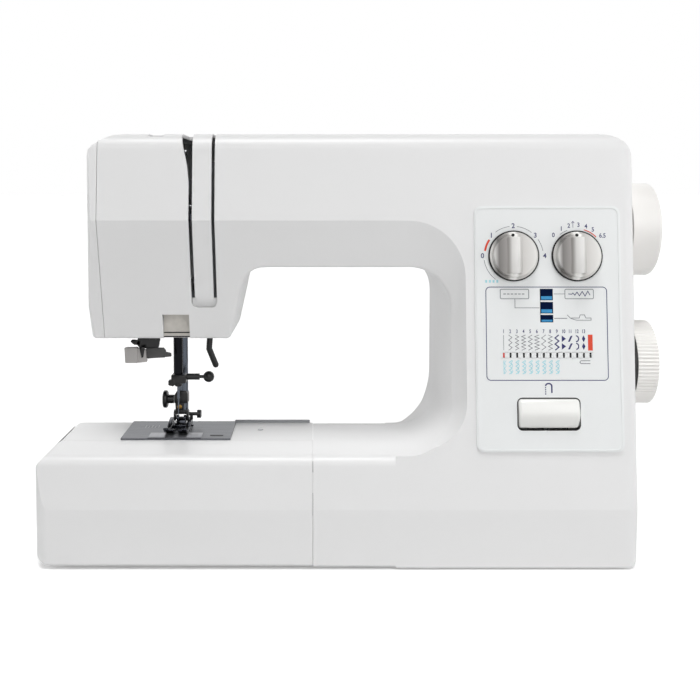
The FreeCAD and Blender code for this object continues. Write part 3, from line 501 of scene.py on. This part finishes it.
def print_width_scale(dark, red, grey):
    for number, angle in WIDTH_NUMERALS:
        reach = 20.2 if number != "6.5" else 21.4
        dark.text(number, WIDTH_U + reach * cos(radians(angle)), reach * sin(radians(angle)), 4.0, 0.9)
    red.arc(WIDTH_U, 0, 17.7, 44, 74, 0.6)
    grey.arc(WIDTH_U, 0, 17.6, 110, 128, 0.3)
    needle_u = WIDTH_U - 2.2
    dark.stroke([(needle_u, 18.4), (needle_u, 22.4)], 0.3)
    dark.stroke([(needle_u - 0.9, 21.4), (needle_u, 22.6), (needle_u + 0.9, 21.4)], 0.3)


def print_scales():
    dark, red, grey, cyan = Print(), Print(), Print(), Print()
    print_length_scale(dark, red, grey, cyan)
    print_width_scale(dark, red, grey)
    dark.finish("print_numerals", "ink_navy")
    red.finish("print_red_arcs", "ink_red")
    grey.finish("print_grey_arcs", "ink_grey")
    cyan.finish("print_cyan_marks", "ink_cyan")


def print_legend(navy, grey):
    """Frame of the chart, and the small pictures beside the windows."""
    navy.rounded(78.7, 156.8, slope(120.6), slope(180.0), 2.6, 0.5)
    for left, right in ((88.0, 106.4), (129.8, 148.2)):
        grey.rounded(left, right, slope(172.5), slope(178.6), 0.8, 0.4)
    for k in range(6):
        grey.box(90.0 + 2.4 * k, 91.6 + 2.4 * k, slope(175.3), slope(175.8))
    zig = [(132.0, 175.6), (134.2, 175.4), (135.0, 176.2), (136.2, 174.8), (137.6, 176.8),
           (139.2, 174.4), (141.0, 177.2), (142.8, 174.2), (144.6, 177.4), (146.0, 174.8)]
    navy.stroke([(u, slope(z)) for u, z in zig], 0.45)
    grey.stroke([(97.4, slope(172.5)), (97.4, slope(166.7)), (113.2, slope(166.7))], 0.35)
    grey.stroke([(122.6, slope(175.6)), (129.8, slope(175.6))], 0.3)
    grey.stroke([(122.6, slope(160.0)), (131.0, slope(160.0))], 0.4)
    foot = [(131.0, 162.2), (133.2, 160.0), (137.0, 158.8), (146.4, 158.8), (146.4, 160.2), (143.0, 160.2),
            (142.2, 162.2), (139.4, 162.2), (138.8, 160.2), (133.4, 160.2)]
    grey.stroke([(u, slope(z)) for u, z in foot], 0.35)


def print_stitches(navy, grey, cyan):
    """One generic stitch picture in each column of the chart."""
    low, high = slope(CHART_LOW), slope(CHART_HIGH)
    grey.stroke([(column_u(0), low), (column_u(0), high)], 0.28)
    zigzags = ((1.1, 6), (1.1, 8), (1.3, 9), (1.3, 7), (1.5, 9), (1.4, 5), (1.3, 8))
    for index, (swing, turns) in enumerate(zigzags, 1):
        zigzag(grey, column_u(index), low, high, swing, turns, 0.34)
    zigzag(navy, column_u(8), low, high, 1.2, 5, 0.75)
    triangle, slant, bow, diamond = (column_u(k) for k in (9, 10, 11, 12))
    for half in range(2):
        mid = low + (high - low) * (0.25 + 0.5 * half)
        navy.area([(triangle - 1.2, mid - 2.1), (triangle + 1.5, mid), (triangle - 1.2, mid + 2.1)])
        navy.area([(slant - 1.5, mid - 1.9), (slant - 0.3, mid - 1.9), (slant + 1.5, mid + 1.9),
                   (slant + 0.3, mid + 1.9)])
        navy.arc(bow - 0.9, mid, 2.0, -80, 80, 0.7, 10)
        navy.area([(diamond, mid - 2.2), (diamond + 1.1, mid), (diamond, mid + 2.2), (diamond - 1.1, mid)])
    for index in range(9):
        zigzag(cyan, column_u(index), slope(124.6), slope(133.2), 0.9 if index else 0.1, 7, 0.5)
        zigzag(cyan, column_u(index) + 0.9, slope(124.6), slope(133.2), 0.5, 5, 0.3)


def print_arrow(navy):
    """Arch with a dashed leg over the reverse lever."""
    middle = 118.3
    arch = [(middle + 2.0 * cos(radians(angle)), slope(117.0) + 1.6 * sin(radians(angle)))
            for angle in range(0, 181, 20)]
    navy.stroke([(middle + 2.0, slope(112.6))] + arch, 0.9)
    for k in range(4):
        navy.box(middle - 2.35, middle - 1.65, slope(111.6) + 1.35 * k, slope(111.6) + 0.8 + 1.35 * k)


def print_chart():
    navy, grey, cyan, red, dark = Print(), Print(), Print(), Print(), Print()
    print_legend(navy, grey)
    print_stitches(navy, grey, cyan)
    print_arrow(navy)
    for index in range(COLUMNS - 1):
        dark.text(str(index + 1), column_u(index), slope(151.6), 3.3, 0.72)
    last = column_u(COLUMNS - 1)
    red.box(last - 1.5, last + 1.5, slope(CHART_LOW) - 0.2, slope(CHART_HIGH) + 0.2)
    grey.stroke([(145.4, slope(133.0)), (139.4, slope(133.0)), (138.6, slope(132.1)), (139.4, slope(131.2)),
                 (145.4, slope(131.2))], 0.4)
    navy.finish("print_navy", "ink_navy")
    grey.finish("print_grey", "ink_grey")
    cyan.finish("print_cyan", "ink_cyan")
    red.finish("print_red_box", "ink_red")
    dark.finish("print_columns", "ink_navy")


# ---- panel fittings ----
PANEL_U0, PANEL_U1, PANEL_Z0, PANEL_Z1 = 71.8, 166.4, 75.3, 232.4
LEVER_U0, LEVER_U1, LEVER_Z0, LEVER_Z1 = 98.0, 138.4, 89.0, 109.5
LENS_U0, LENS_U1, LENS_Z0, LENS_Z1 = 113.8, 122.0, 157.4, 178.9
WINDOW_BANDS = ((171.5, 178.9), (163.1, 170.5), (157.4, 162.2))


def panel_rim():
    """Raised bead just inside the panel's edge."""
    bead = Print(PANEL_N, 0.35)
    bead.rounded(PANEL_U0 + 1.3, PANEL_U1 - 1.3, slope(PANEL_Z0) + 1.3, slope(PANEL_Z1) - 1.3, 4.2, 0.7)
    bead.finish("panel_bead", "panel_white")


def window_bars():
    bars, glow, edge = Print(), Print(), Print()
    for upper, lower in zip(WINDOW_BANDS, WINDOW_BANDS[1:]):
        bars.box(LENS_U0, LENS_U1, slope(lower[1]), slope(upper[0]))
    # painted light: a lighter blue band in the lower part of each window
    for low, high in WINDOW_BANDS:
        glow.box(LENS_U0 + 0.6, LENS_U1 - 0.6, slope(low) + 0.5, slope(low) + 0.36 * (high - low))
    edge.stroke([(LENS_U0, slope(LENS_Z0)), (LENS_U0, slope(LENS_Z1))], 0.4)
    bars.finish("window_bars", "panel_white")
    glow.finish("window_glow", "painted_window_light")
    edge.finish("window_edge", "ink_black")


def chart_mask():
    """Row of small windows over the pointer's track."""
    track, mask = Print(0.02), Print(1.12, 0.16)
    low, high = slope(CHART_Z) - 1.9, slope(CHART_Z) + 1.9
    track.box(CHART_X0 - 1.8, CHART_X1 + 1.8, low, slope(CHART_Z) - 0.65)
    track.box(CHART_X0 - 1.8, CHART_X1 + 1.8, slope(CHART_Z) + 0.65, high)
    half = 0.62
    starts = [CHART_X0 - 1.9] + [column_u(k) + half for k in range(COLUMNS)]
    ends = [column_u(k) - half for k in range(COLUMNS)] + [CHART_X1 + 1.9]
    for start, end in zip(starts, ends):
        mask.box(start, end, low - 0.1, high + 0.1)
    for v0, v1 in ((low - 0.1, low + 0.3), (high - 0.3, high + 0.1)):
        mask.box(CHART_X0 - 1.9, CHART_X1 + 1.9, v0, v1)
    track.finish("chart_track", "ink_black")
    mask.finish("chart_mask", "panel_white")


def panel_dial(node, u, body, finish):
    """Silver disc with a long low flank on its left and a raised ridge; its silver paints a dark shade on the
    flank and a highlight on the ridge.
    """
    face, rim, dot = Solid(), Solid(), Solid()
    centre = on_panel(u, 0, 0)
    face.lathe(centre, NORMAL, [(0, 1.5), (15.6, 1.5), (15.6, 2.6), (15.0, 3.2), (0, 3.4)], 72)
    face.lathe(centre, NORMAL, [(0, 3.0), (14.0, 3.0), (14.0, 7.6), (13.5, 8.2), (0, 8.4)], 72)
    rim.lathe(centre, NORMAL, [(0, 1.3), (16.5, 1.3), (16.5, 2.2), (15.9, 2.4), (0, 2.4)], 72)
    ridge = [(-6.0, 8.0), (3.8, 8.0), (3.4, 12.2), (2.2, 13.2), (0.6, 13.2), (-1.0, 11.4), (-3.2, 9.4)]
    points = [on_panel(u + x, -11.6, n) for x, n in ridge]
    face.extrude(points, UP_SLOPE * 23.2 * MM, 0.5, 3)
    dot.lathe(on_panel(u - 1.7, 13.0, 0), NORMAL, [(0, 8.0), (1.0, 8.0), (1.0, 8.6), (0, 8.7)], 16)
    # finish is the silver with painted shade on the flank and a painted highlight on the ridge
    face.finish(node + "_face", finish, body, "dial_silver", replaced=(node,))
    rim.finish(node + "_rim", "ink_black", body, "dial_silver")
    dot.finish(node + "_dot", "ink_black", body, "dial_silver")


def reverse_paddle():
    """Convex paddle with a fold across its middle."""
    paddle, surround, rim = Solid(), Print(), Print(PANEL_N + 0.1)
    profile = [(LEVER_Z0 + 1.2, -4.0), (LEVER_Z0 + 1.2, 0.4), (LEVER_Z0 + 3.6, 2.0), (LEVER_Z0 + 6.8, 4.6),
               (LEVER_Z0 + 9.6, 5.6), (LEVER_Z0 + 12.4, 5.4), (LEVER_Z1 - 3.0, 3.6), (LEVER_Z1 - 0.6, 2.2),
               (LEVER_Z1 - 0.6, -4.0)]
    points = [on_panel(LEVER_U0 + 0.7, slope(z), n) for z, n in profile]
    paddle.extrude(points, RIGHT * (LEVER_U1 - LEVER_U0 - 1.4) * MM, 2.0, 4)
    paddle.block(114, 122, -70, -60, 101.5, 107.5)
    low, high = slope(LEVER_Z0), slope(LEVER_Z1)
    surround.rounded(LEVER_U0 - 0.6, LEVER_U1 + 0.6, low - 0.6, high + 0.6, 4.0, 1.6)
    # painted shade: a thin black line round the inside of the opening, for the shaded gap round the paddle
    rim.rounded(LEVER_U0 + 0.1, LEVER_U1 - 0.1, low + 0.1, high - 0.1, 3.3, 0.5)
    surround.finish("reverse_frame", "panel_white")
    paddle.finish("reverse_paddle", "lever_white", "reverse", "lever_white", 40, ("reverse_lever",))
    rim.finish("reverse_gap_shade", "ink_black")


# ---- needle area ----
def side_plate(solid, outline, x0, x1, soft=0.3):
    """Plate cut to an outline seen from the side, (y, z), from x0 to x1."""
    solid.extrude([place(x0, y, z) for y, z in outline], RIGHT * (x1 - x0) * MM, soft)


def build_foot():
    foot = Solid()
    sole = [(-2, 74.0), (-29, 74.0), (-34, 75.2), (-38, 78.0), (-38.4, 79.0), (-37.4, 79.4), (-33, 77.0),
            (-28, 76.0), (-2, 76.0)]
    side_plate(foot, sole, -136.0, -132.8)
    side_plate(foot, sole, -123.2, -120.0)
    inner = [(-26, 74.0), (-29, 74.0), (-34, 75.2), (-37.2, 77.4), (-37.6, 78.4), (-33, 77.0), (-28, 76.0),
             (-26, 76.0)]
    side_plate(foot, inner, -133.2, -129.4)
    side_plate(foot, inner, -126.6, -122.8)
    foot.block(-133.0, -123.0, -16.5, -2.0, 74.0, 76.2)
    saddle = ((-9, 76), (-3, 76), (-8.2, 78), (-3.8, 78))
    foot.hull([(x, y, z) for x in (-131, -124.5) for y, z in saddle], 0.4)
    for x0, x1 in ((-136.0, -133.4), (-122.6, -120.0)):
        side = ((-22, 75.8), (-2.4, 75.8), (-4, 79.4), (-12, 78.6))
        foot.hull([(x, y, z) for x in (x0, x1) for y, z in side], 0.4)
    for x in (-131.0, -126.0):
        foot.lathe(place(x, -6, 79), RIGHT, [(1.1, 0), (2.2, 0), (2.2, 1.5), (1.1, 1.5), (1.1, 0)], 24)
        foot.block(x, x + 1.5, -7.4, -4.6, 76.0, 77.9, 0.1)
    foot.finish("sewing_foot", "dark_chrome", "foot", "dark_chrome", 35, ("presser_foot",))


def build_holder():
    holder, glint = Solid(), Solid()
    holder.hull([(x, y, z) for x, z in ((-132.4, 96.0), (-130.6, 99.0), (-124.0, 99.0), (-122.8, 97.0),
                                        (-122.8, 90.0), (-132.4, 90.0)) for y in (-8.6, 0.4)], 0.6)
    holder.hull([(x, y, z) for x, z in ((-132.0, 91.0), (-125.4, 91.0), (-125.9, 83.0), (-131.5, 83.0))
                 for y in (-8.4, -0.5)], 0.5)
    for x in (-133.0, -124.0):
        holder.block(x, x + 1.5, -9.0, -1.0, 77.6, 84.0, 0.4)
    holder.block(-133.0, -122.5, -8.6, -3.6, 82.2, 85.0, 0.4)
    holder.lathe(place(-133, -6, 79), RIGHT, [(0, 0), (1.0, 0), (1.0, 10.5), (0, 10.5)], 20)
    rivet = [(0, 0), (1.7, 0), (1.7, 0.5), (1.3, 0.8), (0, 0.9)]
    glint.lathe(place(-128.6, -8.5, 87.5), Vector((0, -1, 0)), rivet, 24)
    holder.finish("foot_clip", "black_metal", "presser", "black_metal", 35, ("foot_holder",))
    glint.finish("foot_clip_rivet", "bronze", "presser")


def build_thumbscrew():
    screw = Solid()
    profile = [(0, 0), (5.4, 0), (6.2, 0.6), (6.3, 1.7), (6.2, 2.8), (5.2, 3.4),
               (3.1, 3.5), (3.1, 7.8), (0, 7.8)]
    screw.lathe(place(-140.8, -5, 92.5), RIGHT, profile, 40)
    screw.finish("foot_thumbscrew", "black_metal", "foot_thumbscrew", "black_metal", 40, ("foot_screw",))


def build_clamp():
    clamp = Solid()
    clamp.hull([(x, y, z) for x, z in ((-132.4, 113.4), (-122.4, 113.4), (-122.0, 112.0), (-122.0, 107.6),
                                       (-132.4, 107.2)) for y in (-24.2, -14.2)], 0.7, 3)
    clamp.hull([(x, y, z) for x, z in ((-134.4, 109.6), (-130.5, 110.6), (-129.0, 107.6), (-131.0, 105.4),
                                       (-134.4, 106.2)) for y in (-24.4, -19.5)], 0.5, 3)
    collar = [(0, 0), (2.3, 0), (2.7, 0.6), (2.7, 3.0), (0, 3.0)]
    clamp.lathe(place(-128, -19, 104.8), Vector((0, 0, 1)), collar, 28)
    clamp.finish("clamp_block", "black_metal", "needle_slide", "black_metal", 35, ("needle_clamp",))


def build_threader():
    block, wedge, arm, bracket = Solid(), Solid(), Solid(), Solid()
    block.hull([(x, y, z) for x, z in ((-163.9, 133.6), (-154.6, 133.8), (-154.6, 122.9), (-163.4, 122.9))
                for y in (-30, -25)], 0.7, 3)
    block.hull([(x, y, z) for x, z in ((-154.9, 133.2), (-149.0, 132.0), (-148.4, 123.6), (-154.9, 123.0))
                for y in (-29.4, -25.4)], 0.4)
    wedge.hull([(x, y, z) for x, z in ((-153.4, 134.0), (-149.6, 134.0), (-150.6, 127.2), (-151.8, 126.6))
                for y in (-30.4, -29.5)], 0.15)
    arm.hull([(x, y, z) for x, z in ((-149.2, 133.0), (-137.0, 133.4), (-135.4, 131.4), (-135.8, 126.6),
                                     (-148.6, 125.8)) for y in (-28.4, -25.6)], 0.4)
    arm.hull([(x, y, z) for x, z in ((-136.4, 130.8), (-131.7, 129.6), (-131.5, 127.2), (-136.4, 126.8))
              for y in (-28.0, -26.2)], 0.3)
    bracket.hull([(x, y, z) for x, z in ((-153.6, 144.0), (-140.6, 144.0), (-139.4, 139.0), (-140.4, 133.4),
                                         (-153.0, 132.6), (-156.0, 136.0)) for y in (-27.6, -24.6)], 0.4)
    bracket.hull([(x, y, z) for x, z in ((-160.0, 137.6), (-159.0, 139.0), (-153.0, 138.4), (-153.0, 135.0),
                                         (-157.6, 135.4)) for y in (-27.6, -25.0)], 0.4)
    bracket.lathe(place(-152, -26.4, 143), Vector((0, 0, 1)), [(0, 0), (1.8, 0), (1.8, 46), (0, 46)], 20)
    block.finish("threader_block", "threader_grey", "threader", "grey_plastic", 35, ("needle_threader",))
    wedge.finish("threader_wedge", "black_metal", "threader")
    arm.finish("threader_arm", "grey_dark", "threader")
    bracket.finish("threader_bracket", "black_metal", "threader")


def build_notch():
    """Pale screen in the notch of the head's lower edge, with two dark lines."""
    back, lines = Solid(), Solid()
    back.block(-134.5, -116.7, -40.55, -40.32, 142.6, 158.9, 0)
    for z in (143.2, 146.0):
        lines.block(-134.5, -116.7, -40.9, -40.57, z - 0.35, z + 0.35, 0)
    back.finish("notch_screen", "beige_grey", "machine")
    lines.finish("notch_lines", "ink_black", "machine")


def build_dial_back():
    """Black disc on the pattern dial's back face: painted shade for the dark gap between the dial and the body."""
    back = Solid()
    centre = JOINTS["pattern_dial_turn"]["pos_m"]
    origin = Vector((place(186.6, 0, 0).x, centre[1], centre[2]))
    # painted shade: a thin black sheet where the gap beside the body lies in shadow
    back.lathe(origin, RIGHT, [(20.3, 0), (27.9, 0), (27.9, 0.38), (20.3, 0.38), (20.3, 0)], 72)
    back.finish("pattern_dial_back_shade", "black_plastic", "selector")


def build_plate_details():
    cover, slot, ticks = Solid(), Solid(), Solid()
    top = 73.72
    cover.hull([(x, y, z) for x, y in ((-146.0, -42.2), (-109.6, -42.2), (-109.6, -28.5), (-146.0, -28.5))
                for z in (top, top + 0.22)], 0.08)
    # painted shade: black marks for the shaded groove at the slide cover's front edge and a shaded slot
    slot.block(-146.0, -109.6, -43.6, -42.3, top, top + 0.1, 0)
    slot.block(-104.0, -95.0, -37.2, -34.4, top, top + 0.08, 0)
    for k in range(5):
        ticks.block(-152.6 + 2.3 * k, -152.3 + 2.3 * k, -14.0, -9.0 if k % 2 else -7.0, top, top + 0.06, 0)
    cover.finish("plate_slide", "plate_light", "machine")
    slot.finish("plate_slot_shade", "ink_black", "machine")
    ticks.finish("plate_ticks", "ink_pale", "machine")


def build_bed_rim():
    """Dark line along the back edge of the free arm, right of the needle plate."""
    rim = Solid()
    rim.block(-90.0, -35.4, 6.0, 7.0, 72.0, 74.7, 0.2)
    rim.finish("bed_rim", "grey_plastic", "machine")


# ---- stage ----
FLOOR_SIZE = 40.0                  # metres each way
FLOOR_BOUNCE, FLOOR_GLOW = 0.74, 0.2
BACK_LIGHT, SIDE_LIGHT = 1.0, 1.5
MIX_A, MIX_B, MIX_RESULT = 6, 7, 2   # the colour sockets of a Mix node
SENSOR_WIDTH, LENS = 36.0, 50.2
CAMERA_SHIFT = (0.0534, -0.15)
CAMERA_X, CAMERA_DISTANCE, CAMERA_HEIGHT = -0.0258, 0.612, 0.2429
CAMERA_TILT = 3.23                 # degrees below the horizontal


def build_stage():
    floor = bpy.data.meshes.new("floor")
    corners = [(x * FLOOR_SIZE, y * FLOOR_SIZE, 0) for x, y in ((-1, -1), (1, -1), (1, 1), (-1, 1))]
    floor.from_pydata(corners, [], [(0, 1, 2, 3)])
    obj = bpy.data.objects.new("floor", floor)
    bpy.context.scene.collection.objects.link(obj)
    floor.materials.append(floor_paint())


def floor_paint():
    """White paper: it glows a little to the camera, and throws less light up than it shows."""
    recipe = Recipe("floor_paint", "#FDFDFD", 0.9, vary=0.003, scale=3)
    path = recipe.add("ShaderNodeLightPath")
    mix = recipe.add("ShaderNodeMix")
    mix.data_type = "RGBA"
    mix.inputs[MIX_A].default_value = (FLOOR_BOUNCE, FLOOR_BOUNCE, FLOOR_BOUNCE, 1)
    mix.inputs[MIX_B].default_value = colour("#FDFDFD")
    recipe.join(path, "Is Camera Ray", mix, "Factor")
    recipe.tree.links.new(mix.outputs[MIX_RESULT], recipe.shader.inputs["Base Color"])
    glow = recipe.add("ShaderNodeMath")
    glow.operation = "MULTIPLY"
    glow.inputs[1].default_value = FLOOR_GLOW
    recipe.join(path, "Is Camera Ray", glow, 0)
    recipe.shader.inputs["Emission Color"].default_value = (1, 1, 1, 1)
    recipe.join(glow, "Value", recipe.shader, "Emission Strength")
    return recipe.material


def sun(name, elevation, azimuth, strength, spread):
    """Soft directional light; azimuth 0 is from the front, positive from the machine's right."""
    data = bpy.data.lights.new(name, "SUN")
    data.energy = strength
    data.angle = radians(spread)
    obj = bpy.data.objects.new(name, data)
    e, a = radians(elevation), radians(azimuth)
    towards = Vector((sin(a) * cos(e), -cos(a) * cos(e), sin(e)))
    obj.rotation_euler = towards.to_track_quat("Z", "Y").to_euler()
    bpy.context.scene.collection.objects.link(obj)


def softbox(position, target, size, power):
    """Square panel of light close to the machine's right-hand side."""
    data = bpy.data.lights.new("softbox", "AREA")
    data.energy = power
    data.size = size
    obj = bpy.data.objects.new("softbox", data)
    obj.location = position
    obj.rotation_euler = (Vector(position) - Vector(target)).to_track_quat("Z", "Y").to_euler()
    bpy.context.scene.collection.objects.link(obj)


def build_world():
    """Dim room with bright walls behind the machine and at its sides; the camera sees white."""
    world = bpy.data.worlds.new("studio")
    world.use_nodes = True
    nodes, links = world.node_tree.nodes, world.node_tree.links
    split = nodes.new("ShaderNodeSeparateXYZ")
    links.new(nodes.new("ShaderNodeTexCoord").outputs["Generated"], split.inputs["Vector"])
    sideways = nodes.new("ShaderNodeMath")
    sideways.operation = "ABSOLUTE"
    links.new(split.outputs["X"], sideways.inputs[0])
    strength = nodes.new("ShaderNodeLightPath").outputs["Is Camera Ray"]
    walls = ((split.outputs["Y"], 0.35, 0.75, BACK_LIGHT), (sideways.outputs[0], 0.70, 0.95, SIDE_LIGHT))
    for direction, low, high, light in walls:
        ramp = nodes.new("ShaderNodeMapRange")
        ramp.inputs["From Min"].default_value = low
        ramp.inputs["From Max"].default_value = high
        ramp.inputs["To Max"].default_value = light
        links.new(direction, ramp.inputs["Value"])
        brighter = nodes.new("ShaderNodeMath")
        brighter.operation = "MAXIMUM"
        links.new(strength, brighter.inputs[0])
        links.new(ramp.outputs["Result"], brighter.inputs[1])
        strength = brighter.outputs["Value"]
    links.new(strength, nodes["Background"].inputs["Strength"])
    nodes["Background"].inputs["Color"].default_value = (1, 1, 1, 1)
    bpy.context.scene.world = world


def build_lights():
    build_world()
    sun("key", elevation=75, azimuth=-6, strength=1.62, spread=26)
    sun("fill", elevation=28, azimuth=10, strength=0.86, spread=50)
    softbox(position=(0.52, -0.50, 0.36), target=(0.14, -0.03, 0.16), size=0.36, power=0.50)


def build_camera():
    data = bpy.data.cameras.new("camera")
    data.sensor_width = SENSOR_WIDTH
    data.lens = LENS
    data.shift_x, data.shift_y = CAMERA_SHIFT
    obj = bpy.data.objects.new("camera", data)
    obj.location = (CAMERA_X, cad_low.y - CAMERA_DISTANCE, CAMERA_HEIGHT)
    obj.rotation_euler = (radians(90 - CAMERA_TILT), 0, 0)
    bpy.context.scene.collection.objects.link(obj)
    bpy.context.scene.camera = obj


def build_panel():
    print_scales()
    print_chart()
    panel_rim()
    window_bars()
    chart_mask()
    panel_dial("length_dial", DIAL_U, "length_knob", "length_silver_painted_shade")
    panel_dial("width_dial", WIDTH_U, "width_knob", "width_silver_painted_shade")
    reverse_paddle()


def build_small_pieces():
    build_foot()
    build_holder()
    build_thumbscrew()
    build_clamp()
    build_threader()
    build_notch()
    build_dial_back()
    build_plate_details()
    build_bed_rim()


def main():
    make_slot_materials()
    make_inks()
    make_extra_materials()
    build_camera()
    build_stage()
    build_lights()
    bpy.context.scene.view_settings.view_transform = "Standard"
    dress_cad()
    build_panel()
    build_small_pieces()


main()
